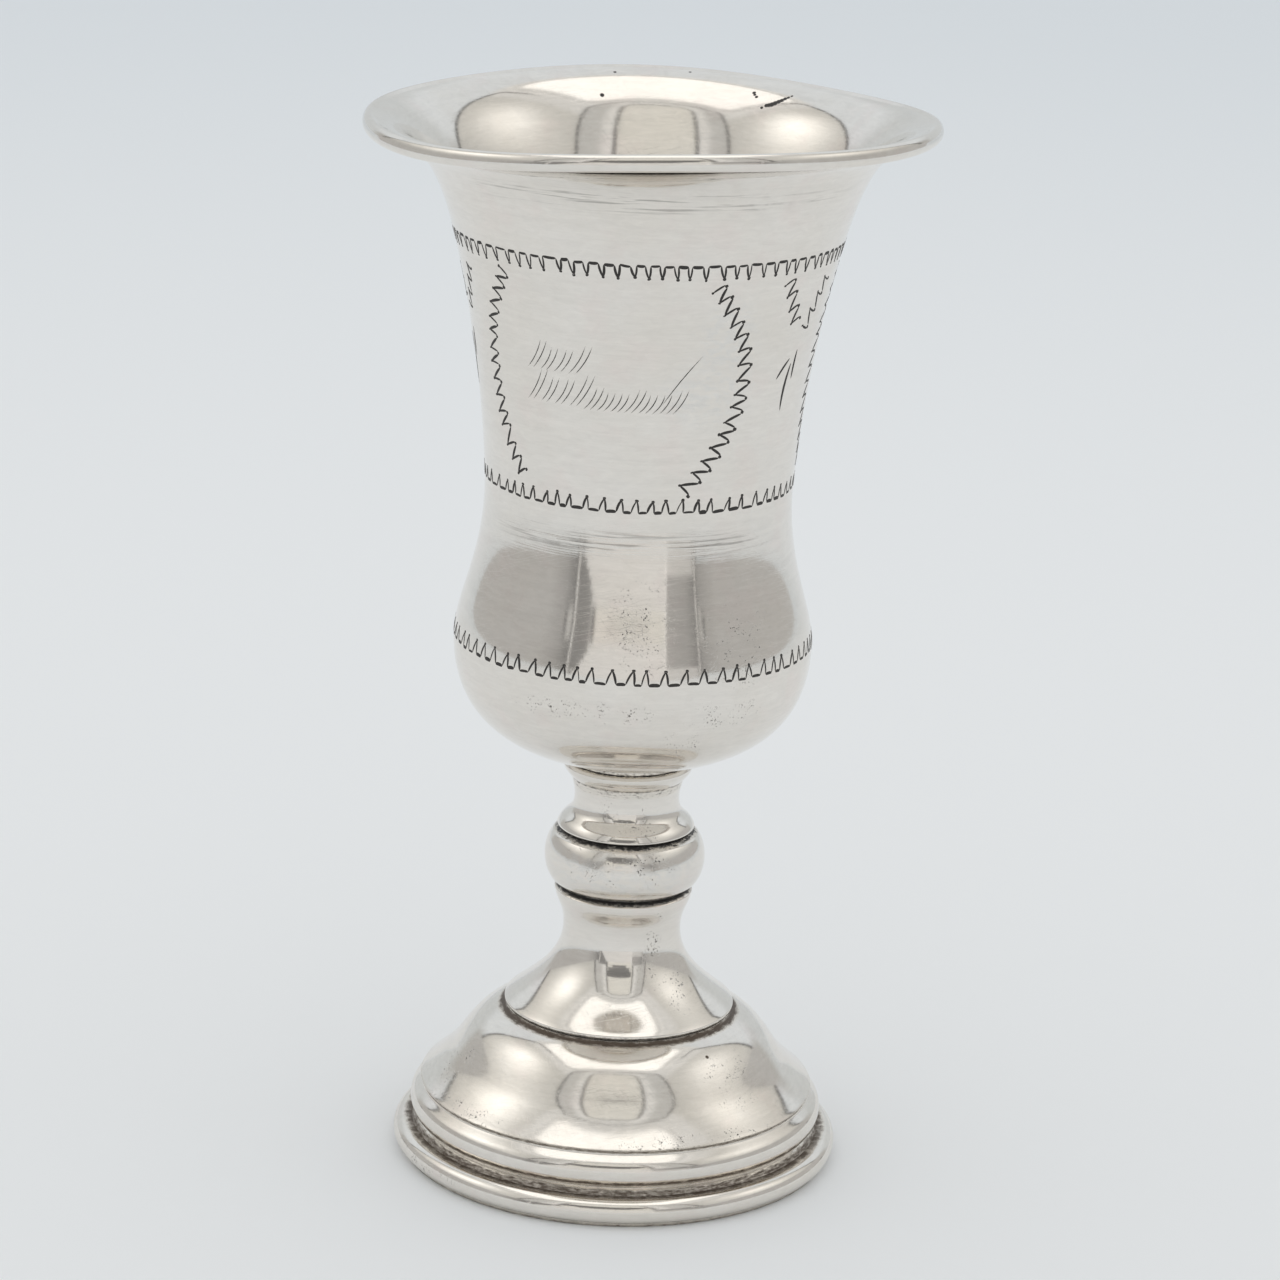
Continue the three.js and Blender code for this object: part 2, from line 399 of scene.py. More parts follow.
class Nodes:
    """Adds shader nodes to a material or to the world, which starts empty."""

    def __init__(self, block):
        block.use_nodes = True
        self.tree = block.node_tree
        self.tree.nodes.clear()

    def node(self, kind, sockets=None, **settings):
        """One node. sockets gives an input, by name or number, a value or another's output."""
        made = self.tree.nodes.new("ShaderNode" + kind)
        for key, value in settings.items():
            setattr(made, key, value)
        for key, value in (sockets or {}).items():
            if isinstance(value, bpy.types.NodeSocket):
                self.tree.links.new(value, made.inputs[key])
            else:
                made.inputs[key].default_value = value
        return made

    def maths(self, operation, first, second=0.0, third=0.0):
        """The result of one sum on numbers or outputs."""
        values = {0: first, 1: second, 2: third}
        return self.node("Math", values, operation=operation).outputs[0]

    def times(self, first, second):
        """One value times another."""
        return self.maths("MULTIPLY", first, second)

    def added(self, value, weight, base):
        """A value times a weight, added to a base."""
        return self.maths("MULTIPLY_ADD", value, weight, base)

    def swayed(self, pattern, weight, base):
        """A base moved up and down by a pattern whose middle is one half."""
        return self.added(self.maths("SUBTRACT", pattern, 0.5), weight, base)

    def eased(self, value, low, high, to_low=0.0, to_high=1.0):
        """A value taken smoothly from one range to another."""
        ends = {"From Min": low, "From Max": high, "To Min": to_low, "To Max": to_high}
        sockets = {"Value": value} | ends
        return self.node("MapRange", sockets, interpolation_type="SMOOTHSTEP").outputs[0]

    def blended(self, amount, first, second):
        """A colour between two others."""
        sockets = {0: amount}
        for key, value in ((6, first), (7, second)):
            sockets[key] = value if isinstance(value, bpy.types.NodeSocket) else (*value, 1.0)
        return self.node("Mix", sockets, data_type="RGBA").outputs[2]

    def scaled(self, vector, amount):
        """A place or a colour times a number."""
        return self.node("VectorMath", {0: vector, "Scale": amount}, operation="SCALE").outputs[0]

    def place(self):
        """The place on the piece, in millimetres."""
        return self.scaled(self.node("TexCoord").outputs["Object"], 1 / MM)

    def number(self, name):
        """A number kept at each point of the mesh."""
        return self.node("Attribute", attribute_name=name).outputs["Fac"]

    def grain(self, place, scale, detail=2.0, roughness=0.5, distortion=0.0):
        """Smooth noise with its middle at one half."""
        sockets = {"Vector": place, "Scale": scale, "Detail": detail}
        sockets |= {"Roughness": roughness, "Distortion": distortion}
        return self.node("TexNoise", sockets).outputs[0]

    def drawn(self, place, across, up, *look):
        """Noise drawn out level: its scales across and up are in patterns to the millimetre."""
        scales = {0: place, 1: (across, across, up)}
        stretched = self.node("VectorMath", scales, operation="MULTIPLY").outputs[0]
        return self.grain(stretched, 1.0, *look)

    def scratches(self, place, lean, fineness, width):
        """Long thin scratches: where drawn-out, leaning noise crosses its middle value."""
        leaning = {"Vector": place, "Angle": lean, "Axis": (0.35, 0.8, 0.5)}
        leaned = self.node("VectorRotate", leaning).outputs[0]
        noise = self.drawn(leaned, 0.12 * fineness, 1.6 * fineness, 1.0)
        off = self.maths("ABSOLUTE", self.maths("SUBTRACT", noise, 0.5))
        return self.eased(off, 0.0, width, 1.0, 0.0)

    def shaded(self, tone, metal, rough, bump):
        """Ends a material with its shader."""
        sockets = {"Base Color": tone, "Metallic": metal, "Roughness": rough}
        shader = self.node("BsdfPrincipled", sockets | {"Normal": bump.outputs[0]})
        self.node("OutputMaterial", {0: shader.outputs[0]})


def silver(name, finish, gloss=1.0, marks=1.0, warm=0.35, dirt_and_shade=False, specks=()):
    """Polished silver: fine turning lines, scratches and pits in the surface, clouds of warm
    tarnish and pale streaks, smudges, black tarnish where the grime and shade number is high, brown
    dirt there instead if asked, and small black specks at given places: (angle, radius, height,
    size). On the foot rim the high grime and shade number is also a painted contact shadow under
    the bead, in the same brown."""
    material = bpy.data.materials.new(name)
    n = Nodes(material)
    place = n.place()
    grime_and_shade, wear, combed, smudged = map(n.number, ("grime_and_shade", "worn", "combed", "smudged"))

    clouds = n.grain(place, 0.09, 4.0, 0.6)
    copper = n.grain(place, 0.16, 3.0, 0.6)
    mottle = n.grain(place, 2.3, 3.0, 0.65)
    bands = n.drawn(place, 0.05, 1.15, 3.0, 0.62, 0.6)
    lines = n.drawn(place, 0.09, 3.2, 3.0, 0.6, 0.3)
    fine = n.drawn(place, 0.25, 11.0, 2.0)
    patches = n.drawn(place, 0.45, 1.5, 4.0, 0.65, 0.8)
    ripples = n.drawn(place, 0.7, 1.5, 3.0, 0.55, 0.5)
    flecks = n.drawn(place, 0.8, 5.5, 4.0, 0.7)
    long_marks = n.scratches(place, 0.35, 1.0, 0.006)
    short_marks = n.scratches(place, -0.9, 2.1, 0.007)
    clusters = n.eased(n.grain(place, 0.55, 2.0), 0.44, 0.6)
    pitted = n.times(n.eased(wear, 0.08, 0.6), clusters)
    pits = n.times(n.eased(n.grain(place, 3.4, 3.0, 0.6), 0.585, 0.66), pitted)

    streaky, spotty = (1.1, 0.3) if dirt_and_shade else (1.6, 1.0)
    ragged = n.swayed(mottle, spotty, n.swayed(flecks, streaky, grime_and_shade))
    black = n.times(n.eased(ragged, 0.3, 0.85), n.eased(grime_and_shade, 0.1, 0.4))
    for angle, radius, height, wide in specks:
        a = math.radians(angle)
        spot = (radius * math.sin(a), -radius * math.cos(a), height)
        away = n.node("VectorMath", {0: place, 1: spot}, operation="DISTANCE").outputs["Value"]
        black = n.maths("MAXIMUM", black, n.eased(away, 0.6 * wide, wide, 1.0, 0.0))
    haze = n.eased(n.added(mottle, 0.25, clouds), 0.45, 0.85, 0.0, warm)
    haze = n.maths("MAXIMUM", haze, n.eased(grime_and_shade, 0.05, 0.5))
    smudge = n.times(n.eased(smudged, 0.1, 0.9), n.eased(ripples, 0.38, 0.62))
    streaks = n.times(n.eased(lines, 0.53, 0.64), n.eased(combed, 0.2, 0.9))
    streaks = n.times(streaks, n.eased(clouds, 0.4, 0.55))

    tone = n.blended(haze, finish.silver, finish.warm_silver)
    tone = n.blended(n.eased(copper, 0.5, 0.7, 0.0, 0.45), tone, finish.pink_silver)
    tone = n.blended(n.times(smudge, 0.85), tone, finish.smudge)
    shade = 1.0
    for pattern, weight in ((bands, 0.1), (lines, 0.07), (patches, 0.2)):
        shade = n.swayed(pattern, weight * marks, shade)
    tone = n.scaled(tone, n.maths("MINIMUM", shade, 1.08))
    tone = n.blended(n.times(streaks, 0.42), tone, finish.tarnish)
    tone = n.blended(n.times(pits, 0.85), tone, finish.tarnish)
    tone = n.blended(black, tone, finish.dirt_and_shade if dirt_and_shade else finish.tarnish)
    metal = n.maths("SUBTRACT", 1.0, n.times(black, 0.65 if dirt_and_shade else 0.85))

    rough = n.added(fine, 0.04, finish.gloss * gloss)
    for pattern, weight in ((haze, 0.03), (n.maths("MAXIMUM", black, pits), 0.35), (smudge, 0.16)):
        rough = n.added(pattern, weight, rough)

    height = n.times(lines, n.added(combed, 0.012, 0.0014 * marks))
    heights = (
        (fine, 0.0005 * marks),
        (clouds, 0.02 * marks),
        (long_marks, -0.0012 * marks),
        (short_marks, -0.0009 * marks),
        (n.times(bands, combed), 0.055),
        (n.times(ripples, wear), 0.01),
        (pits, -0.03),
        (black, -0.01),
    )
    for pattern, weight in heights:
        height = n.added(pattern, weight, height)
    bump = n.node("Bump", {"Strength": 1.0, "Distance": MM, "Height": height})
    n.shaded(tone, metal, rough, bump)
    return material


def cut_silver(finish):
    """The graver's cuts: bright thrown-up lips either side of a dark, tarnished bottom. The cut
    number is 0 at the lips and grows towards the bottom, and more in a deeper cut."""
    material = bpy.data.materials.new("engraved_cuts")
    n = Nodes(material)
    mottle = n.grain(n.place(), 4.0, 2.0)
    dark = n.eased(n.swayed(mottle, 0.35, n.number("cut")), 0.02, 0.3)
    tone = n.blended(dark, finish.silver, finish.tarnish)
    rough = n.eased(dark, 0.0, 1.0, 0.22, 0.55)
    metal = n.maths("SUBTRACT", 1.0, n.times(dark, 0.7))
    bump = n.node("Bump", {"Strength": 0.4, "Distance": 0.01 * MM, "Height": mottle})
    n.shaded(tone, metal, rough, bump)
    return material


# ---------------------------------------------------------------- the bowl's outline


def bowl_wall(shape):
    """The bowl's outside from the boss up to the lip, as four curves that meet smoothly."""
    boss = (mm(shape.boss_radius), mm(shape.bowl_base) + 0.75)
    belly = (mm(shape.belly_radius), mm(shape.belly_height))
    waist = (mm(shape.waist_radius), mm(shape.waist_height))
    flare = (mm(shape.flare_radius), mm(shape.flare_height))
    lip = (mm(shape.mouth_radius) - 1.5, mm(shape.mouth_height) - 2.2)
    return joined(
        sweep(boss, (9.2, 1.7), (0, -9.3), belly)[:-1],
        sweep(belly, (0, 4.6), (0, -8.6), waist)[:-1],
        sweep(waist, (0, 7.2), (-3.38, -11.0), flare)[:-1],
        sweep(flare, (2.81, 9.16), (-2.97, -0.32), lip),
    )


class BowlFace:
    """The outside of the bowl as a sheet on which cuts are laid out by angle and height."""

    def __init__(self, shape):
        wall = bowl_wall(shape)
        self.shape = shape
        self.height, self.radius = wall[:, 1], wall[:, 0]
        self.slope = np.gradient(self.radius, self.height)

    def radius_at(self, height):
        """The bowl's radius at a height."""
        return np.interp(height, self.height, self.radius)

    def to_degree(self, height):
        """How many millimetres round the bowl make a degree, at a height."""
        return self.radius_at(height) * math.pi / 180

    def points(self, angle, height, lift):
        """Points at an angle in degrees and a height, raised off the silver by lift."""
        slope = np.interp(height, self.height, self.slope)
        out = 1 / np.hypot(1, slope)
        r = self.radius_at(height) + lift * out
        z = height - lift * slope * out
        a = np.radians(angle)
        return handmade(np.stack([r * np.sin(a), -r * np.cos(a), z], axis=-1), self.shape)


# ---------------------------------------------------------------- the engraver's cuts


class Cuts:
    """A growing list of cuts. Each runs from one (angle, height) to another, bowed sideways."""

    def __init__(self, face):
        self.face = face
        self.rows = []

    def add(self, start, end, width, depth=1.0, bow=0.0, blunt=4.0):
        """Adds cuts: starts and ends are (angle, height), width, bow and length are millimetres,
        and a blunt cut keeps its width nearly to its ends."""
        start, end = np.atleast_2d(start), np.atleast_2d(end)
        count = len(start)
        extra = [np.broadcast_to(np.asarray(v, float), count) for v in (width, depth, bow, blunt)]
        self.rows.append(np.column_stack([start, end, *extra]))

    def mesh(self, burr, steps=9):
        """Points, faces and depth numbers of every cut.

        Along a cut, at t from 0 to 1, half its width is w / 2 * (1 - |2t - 1|^blunt)^(1/2) and it
        bows by 4 t (1 - t) times its bow. Across, six points make a closed tube: two sunk edges,
        two lips raised by the burr, the bottom between them, and a keel inside the wall."""
        rows = np.concatenate(self.rows)
        a0, z0, a1, z1, width, depth, bow, blunt = rows.T[:, :, None]
        t = (1 - np.cos(np.linspace(0, math.pi, steps))) / 2
        height = z0 + (z1 - z0) * t
        radius = self.face.to_degree(height)
        run, rise = (a1 - a0) * radius, z1 - z0
        size = np.maximum(np.hypot(run, rise), 1e-6)
        sway = 4 * t * (1 - t) * bow
        half = width / 2 * np.sqrt(np.clip(1 - np.abs(2 * t - 1) ** blunt, 0, 1))
        side = np.array([-1.0, -0.76, 0.0, 0.76, 1.0, 0.0])
        lift = np.array([-0.4, 1.0, 0.15, 1.0, -0.4, -1.6]) * burr
        dark = np.array([0.0, 0.55, 1.0, 0.55, 0.0, 0.0])
        off = sway[..., None] + half[..., None] * side
        angle = (a0 + (a1 - a0) * t)[..., None] - off * (rise / size / radius)[..., None]
        height = height[..., None] + off * (run / size)[..., None]
        fade = (half / np.maximum(half.max(axis=1, keepdims=True), 1e-6))[..., None]
        points = self.face.points(angle, height, lift * (0.25 + 0.75 * fade))
        cut = dark * fade * depth[..., None]
        count = len(rows)
        tips = points[:, [0, -1]].mean(axis=2)
        body = points[:, 1:-1].reshape(count, -1, 3)
        points = np.concatenate([tips[:, :1], body, tips[:, 1:]], axis=1)
        cut = np.pad(cut[:, 1:-1].reshape(count, -1), ((0, 0), (1, 1)))
        quads, fans = capsule_faces(steps - 2, len(side))
        first = (np.arange(count) * points.shape[1])[:, None, None]
        faces = (quads + first).reshape(-1, 4).tolist() + (fans + first).reshape(-1, 3).tolist()
        return points.reshape(-1, 3), faces, cut.reshape(-1)


def border(cuts, sizes, rng, bars_at, points_at, pitch, bar_share):
    """A border of flat bars joined by pairs of links that meet in stabbed points.

    The teeth go round the bowl at the mean pitch, each a little longer or shorter by hand."""
    count = round(360 / pitch)
    widths = 1 + 0.16 * rng.standard_normal(count).clip(-1.6, 2.2)
    edges = np.concatenate([[0.0], np.cumsum(widths)]) / widths.sum() * 360
    middle, span = (edges[1:] + edges[:-1]) / 2, np.diff(edges)

    def slip(size):
        return size * rng.standard_normal(count)

    half = span * bar_share / 2 * (1 + slip(0.12))
    left = np.column_stack([middle - half, bars_at + slip(0.05)])
    right = np.column_stack([middle + half, bars_at + slip(0.05)])
    point = np.column_stack([edges[1:] + 0.1 * span + slip(0.12), points_at + slip(0.06)])
    before = np.roll(point, 1, axis=0) - np.array([[360.0, 0.0]]) * (np.arange(count) == 0)[:, None]
    lean = np.sign(points_at - bars_at)
    cuts.add(left, right, sizes["bar"] * (1 + slip(0.12)), 1.0, 0.05 * lean)
    cuts.add(right, point, sizes["link"] * (1 + slip(0.15)), 0.8, 0.09 * lean, 3.0)
    cuts.add(before, left, sizes["link"] * (1 + slip(0.15)), 0.75, 0.07 * lean, 3.0)
    stab = np.column_stack([slip(0.12), 0.17 * lean + slip(0.03)])
    cuts.add(point - stab, point + stab, sizes["dot"] * (1 + slip(0.12)), 1.0, 0.0, 3.0)


def zigzag(cuts, sizes, rng, path, width, inward):
    """A toothed line along a path of (angle, height) points.

    At each pitch a stab lies on the inner side; a light cut goes out from it to the outer side, a
    deep bar follows the path there, and a slanting cut comes back to the next stab."""
    middle = path[:, 0].mean()
    flat = np.column_stack([(path[:, 0] - middle) * cuts.face.to_degree(path[:, 1]), path[:, 1]])
    total = lengths(flat)[-1]
    count = max(2, round(total / sizes["tooth"]))
    pitch = total / count
    where = (np.arange(count) + 0.25) * pitch + 0.07 * pitch * rng.standard_normal(count)

    def place(distance, aside):
        ahead, behind = resampled(flat, distance + 0.3), resampled(flat, distance - 0.3)
        along = ahead - behind
        along /= np.maximum(np.linalg.norm(along, axis=1, keepdims=True), 1e-6)
        square = np.stack([-along[:, 1], along[:, 0]], axis=1) * inward
        spot = resampled(flat, distance) + square * aside[:, None]
        angle = middle + spot[:, 0] / cuts.face.to_degree(spot[:, 1])
        return np.column_stack([angle, spot[:, 1]])

    def slip(size):
        return size * rng.standard_normal(count)

    inner = place(where, 0.5 * width * (1 + slip(0.06)))
    out = place(where + 0.05 * pitch, -0.5 * width * (1 + slip(0.06)))
    bar = place(where + 0.26 * pitch, -0.5 * width * (1 + slip(0.06)))
    cuts.add(inner, out, sizes["link"] * (1.1 + slip(0.1)), 0.85 + slip(0.06), -0.05 * inward, 2.4)
    cuts.add(out, bar, sizes["bar"] * 1.15 * (1 + slip(0.1)), 1.0, 0.0, 4.0)
    cuts.add(bar[:-1], inner[1:], sizes["bar"] * 0.95, 0.95, 0.06 * inward, 2.8)
    stab = np.column_stack([slip(0.1), 0.15 + slip(0.03)])
    cuts.add(inner - stab, inner + stab, sizes["dot"] * (0.95 + slip(0.08)), 1.0, 0.0, 3.0)


def panel_side(centre, half, top_share, low_share):
    """One side of a panel's outline, from the top border down to the middle one: out to its
    widest a little above the middle, and in again. half is its half width in degrees there, less
    than nothing for a left side, and the shares of it are the half widths at the two borders."""
    top, wide, low = (centre + half * share for share in (top_share, 1.0, low_share))
    reach_out, reach_in = 0.19 * half, 0.235 * half
    upper = sweep((top, 116.4), (reach_out, -5.2), (0, 4.6), (wide, 103.9), 30)
    lower = sweep((wide, 103.9), (0, -5.2), (reach_in, 4.0), (low, 90.1), 30)
    return np.concatenate([upper[:-1], lower])


def straight(start, end, count=12):
    """Points along a straight line of (angle, height)."""
    return np.linspace(start, end, count)


# ---------------------------------------------------------------- operators

# Small black marks inside the mouth and on the lip: (angle in degrees, radius, height, size)
MOUTH_MARKS = (
    (-153.7, 28.56, 130.3, 0.34),
    (168.3, 30.1, 131.4, 0.3),
    (167.2, 29.6, 131.0, 0.26),
    (167.9, 29.85, 131.2, 0.24),
    (163.6, 28.8, 130.2, 0.36),
    (163.0, 28.85, 130.3, 0.4),
    (162.3, 28.95, 130.42, 0.46),
    (161.6, 29.15, 130.6, 0.46),
    (160.9, 29.4, 130.8, 0.42),
    (160.3, 29.65, 130.95, 0.38),
    (159.7, 29.95, 131.15, 0.34),
    (159.1, 30.2, 131.3, 0.28),
    (158.5, 30.5, 131.5, 0.22),
    (164.6, 28.5, 129.9, 0.26),
    (-157.8, 31.87, 132.7, 0.26),
    (-174.8, 32.75, 132.95, 0.24),
    (-56.5, 33.5, 131.5, 0.28),
    (-52.0, 31.6, 131.2, 0.2),
)


class KIDDUSH_OT_bowl(bpy.types.Operator):
    """Turns the waisted bowl with its rolled edge, its hollow inside and the boss below it"""

    bl_idname = "kiddush.bowl"
    bl_label = "Bowl"

    def execute(self, context):
        shape, finish = context.scene.cup_shape, context.scene.cup_finish
        base, mouth, brim = mm(shape.bowl_base), mm(shape.mouth_radius), mm(shape.mouth_height)
        edge, tall = mm(shape.edge_roll), mm(shape.edge_height)
        wall = bowl_wall(shape)
        inside = inset(wall, mm(shape.bowl_wall))
        inside = inside[inside[:, 1] < mm(shape.flare_height)]
        section = joined(
            [(0.0, base), (mm(shape.boss_radius), base)],
            wall,
            roll(mouth - edge, brim - tall, edge, tall, -66, 104),
            sweep((mouth - 1.5, brim - 0.28), (-2.4, -0.28), (3.0, 9.8), inside[-1]),
            inside[-2::-1],
            [(0.0, base + 1.3)],
        )
        spots = [
            (7.3, base + 0.35, 0.3, 0.9),
            (9.2, base + 1.05, 0.22, 0.55),
            (mouth - 0.9, brim - 2.2, 0.3, 0.55),
        ]
        patches = {
            "worn": [
                (16, 74, 3.4, 5.0),
                (31, 59.5, 2.4, 1.8),
                (-2, 63.8, 8.0, 1.3),
                (45, 63.5, 4.5, 1.6),
                (50, 72, 4.5, 4.5),
            ],
            "combed": [(13, 84.0, 24.0, 1.9), (13, 126.5, 30.0, 1.6)],
            "smudged": [(40, 109, 4.5, 6.0), (36, 102.5, 6.5, 4.0)],
        }
        material = silver("bowl_silver", finish, specks=MOUTH_MARKS)
        shell("bowl", section, spots, patches, material, shape, closed=False)
        return {"FINISHED"}


class KIDDUSH_OT_stem(bpy.types.Operator):
    """Turns the three pieces of the stem: the collar under the bowl, the knop and the pedestal"""

    bl_idname = "kiddush.stem"
    bl_label = "Stem"

    def execute(self, context):
        shape, finish = context.scene.cup_shape, context.scene.cup_finish
        wall = mm(shape.stem_wall)
        groove = 8.1
        material = silver("stem_silver", finish, marks=0.8)

        base, top = mm(shape.knop_top), mm(shape.bowl_base)
        lip = (mm(shape.collar_radius), base + 0.45)
        waist = (mm(shape.stem_waist_radius), 46.8)
        band_foot, band_top = (7.0, 49.3), (8.15, 51.1)
        collar = joined(
            [(groove, base), (lip[0], base + 0.3)],
            sweep(lip, (-0.66, 1.7), (0, -2.4), waist)[:-1],
            sweep(waist, (0, 0.9), (-0.2, -0.8), band_foot)[:-1],
            sweep(band_foot, (0.5, 0.6), (-0.1, -0.7), band_top),
            [(band_top[0] - 0.3, top - 0.1), (7.2, top)],
        )
        spots = [
            (groove, base, 0.5, 1.0),
            (7.0, 49.35, 0.22, 0.6),
            (6.75, 48.35, 0.16, 0.45),
            (7.2, top, 0.4, 0.9),
        ]
        patches = {"worn": [(2, 45.5, 2.2, 2.2), (30, 45, 2, 2)]}
        self.ring("stem_collar", collar, wall, spots, patches, material, shape)

        low, radius = mm(shape.knop_low), mm(shape.knop_radius)
        barrel = roll(radius - 2.6, (low + base) / 2 + 0.1, 2.6, 3.9, -52, 52)
        section = np.concatenate([[(groove, low)], barrel, [(groove, base)]])
        spots = [(groove + 0.1, base - 0.15, 0.78, 0.95), (groove + 0.1, low + 0.2, 0.82, 0.95)]
        patches = {"worn": [(-10, 40, 5, 2.2), (30, 40, 3, 2)], "smudged": [(13, 39, 14, 4)]}
        self.ring("knop", section, wall, spots, patches, material, shape)

        foot = mm(shape.foot_top)
        lip = (mm(shape.pedestal_radius), foot + 0.6)
        neck, under = (mm(shape.neck_radius), 29.6), (8.7, low - 0.5)
        section = joined(
            [(lip[0] - 0.25, foot), (lip[0], foot + 0.3)],
            sweep(lip, (-2.36, 1.93), (0, -4.7), neck)[:-1],
            sweep(neck, (0, 2.7), (-0.3, -1.9), under),
            [(groove, low)],
        )
        spots = [
            (groove + 0.1, low - 0.1, 0.5, 1.0),
            (lip[0] - 0.3, foot, 0.5, 1.0),
            (7.6, 31.9, 0.14, 0.4),
        ]
        patches = {"worn": [(46, 30, 1.0, 3.5), (55, 24.5, 2.5, 2.5), (40, 26, 2.0, 2.0)]}
        self.ring("pedestal", section, wall, spots, patches, material, shape)
        return {"FINISHED"}

    @staticmethod
    def ring(name, outside, wall, spots, patches, material, shape):
        """A tube with both ends cut flat: up the outside and down an inset of it."""
        low, top = outside[0, 1], outside[-1, 1]
        inside = inset(softened(outside, False), wall)
        inside = inside[(inside[:, 1] > low + 0.2) & (inside[:, 1] < top - 0.2)]
        ends = [(inside[-1, 0], top)], [(inside[0, 0], low)]
        section = np.concatenate([outside, ends[0], inside[::-1], ends[1], outside[:1]])
        shell(name, section, spots, patches, material, shape)


class KIDDUSH_OT_foot(bpy.types.Operator):
    """Turns the domed foot with its roll and recess, and the beaded rim that it stands on"""

    bl_idname = "kiddush.foot"
    bl_label = "Foot"

    def execute(self, context):
        shape, finish = context.scene.cup_shape, context.scene.cup_finish
        wall, joint, top = mm(shape.foot_wall), mm(shape.foot_joint), mm(shape.foot_top)
        low_r, top_r = mm(shape.dome_radius), mm(shape.dome_top_radius)
        lip_r, roll_r = mm(shape.pedestal_radius), mm(shape.foot_roll_radius)
        roll_z, roll_half, recess_r = joint + 2.75, (2.2, 2.3), 25.9
        skirt, hollow = (21.75, 12.0), (20.05, 14.3)
        dome = joined(
            sweep((low_r, joint + 5.6), (-1.26, 1.0), (0.85, -0.9), skirt)[:-1],
            sweep(skirt, (-0.7, 0.74), (0.6, -0.88), hollow)[:-1],
            sweep(hollow, (-1.5, 2.2), (2.0, -0.9), (top_r, top - 0.7)),
        )
        section = joined(
            [(recess_r, joint), (recess_r - 0.4, joint + 0.55)],
            roll(roll_r - roll_half[0], roll_z, *roll_half, -56, 0)[:-1],
            sweep((roll_r, roll_z), (0, 1.25), (0.8, -0.7), (low_r - 0.25, joint + 4.95)),
            [(low_r - 0.2, joint + 5.25)],
            dome,
            [(lip_r + 0.1, top - 0.35), (lip_r - 0.3, top), (lip_r - 1.4, top)],
            inset(dome, wall)[::-1],
            [(low_r - wall, roll_z), (low_r - wall, joint), (recess_r, joint)],
        )
        spots = [
            (lip_r + 0.2, top - 0.25, 0.62, 1.0),
            (low_r - 0.1, joint + 5.35, 0.34, 0.75),
            (25.6, joint + 0.2, 0.75, 0.8),
        ]
        patches = {
            "worn": [
                (60, 14.5, 3.5, 2.6),
                (-58, 13, 3.0, 2.6),
                (-35, 9.6, 9.0, 0.7),
                (40, 9.4, 9.0, 0.7),
            ]
        }
        # Brown instead of black where the grime and shade number is high: dirt on the foot, and on
        # the rim also the painted shadow under its bead.
        looks = {"gloss": 1.1, "marks": 1.1, "warm": 0.45, "dirt_and_shade": True}
        material = silver("foot_silver", finish, specks=[(53.0, 17.5, 17.3, 0.3)], **looks)
        shell("foot", section, spots, patches, material, shape)

        bead, height = 1.6, 2.0
        centre = mm(shape.foot_radius) - bead
        bore = 25.2
        upto = math.degrees(math.asin((joint - height) / bead))
        section = joined(
            [(bore, 0.0), (centre + 0.4, 0.0)],
            roll(centre, height, bead, bead, -64, upto),
            [(bore, joint), (bore, 0.0)],
        )
        # The first spot darkens the joint with the foot; the second is painted shadow, the dark
        # line where the bead curls under onto the floor.
        spots = [(recess_r, joint, 0.9, 1.0), (centre + 0.4, 0.1, 0.5, 0.6)]
        patches = {"worn": [(-60, 2, 12, 1)]}
        shell("foot_rim", section, spots, patches, material, shape)
        return {"FINISHED"}


